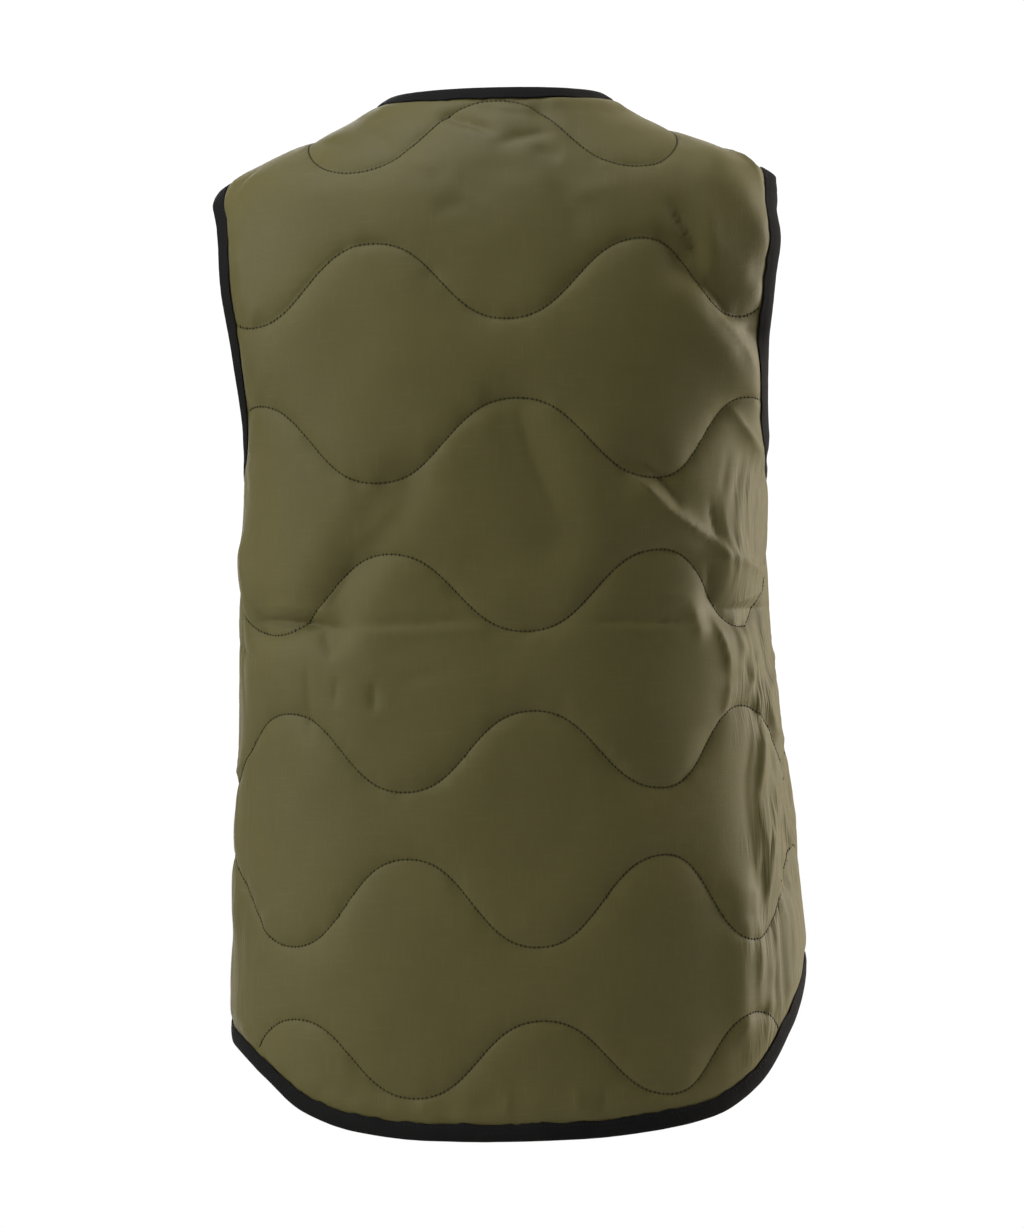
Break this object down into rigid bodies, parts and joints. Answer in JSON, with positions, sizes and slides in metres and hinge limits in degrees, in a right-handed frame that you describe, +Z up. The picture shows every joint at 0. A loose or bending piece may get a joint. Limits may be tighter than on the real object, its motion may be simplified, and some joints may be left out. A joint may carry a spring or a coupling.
{
  "type": "quilted vest",
  "caption": "Hollow sleeveless quilted vest in its worn shape, with wavy stitched rows, bound edges and a lapped snap front.",
  "frame": {"origin": "midway between the neck ends of the two shoulder seams", "axes": "+Z up along the wearer's body, -Y out of the chest, +X to the wearer's left"},
  "size_m": [0.3791, 0.2599, 0.6681],
  "materials": {
    "quilted_cloth": "matt olive woven cloth, quilted over thin fill",
    "binding": "black folded tape, matt",
    "snaps": "dark painted metal, satin"
  },
  "bodies": {
    "root": {"back_panel": "quilted_cloth", "left_front_panel": "quilted_cloth", "right_front_panel": "quilted_cloth", "left_armhole_binding": "binding", "right_armhole_binding": "binding", "neck_and_front_binding": "binding", "hem_binding": "binding", "snap_cap_1": "snaps", "snap_cap_2": "snaps", "snap_cap_3": "snaps", "snap_cap_4": "snaps", "snap_cap_5": "snaps"}
  },
  "joints": []
}
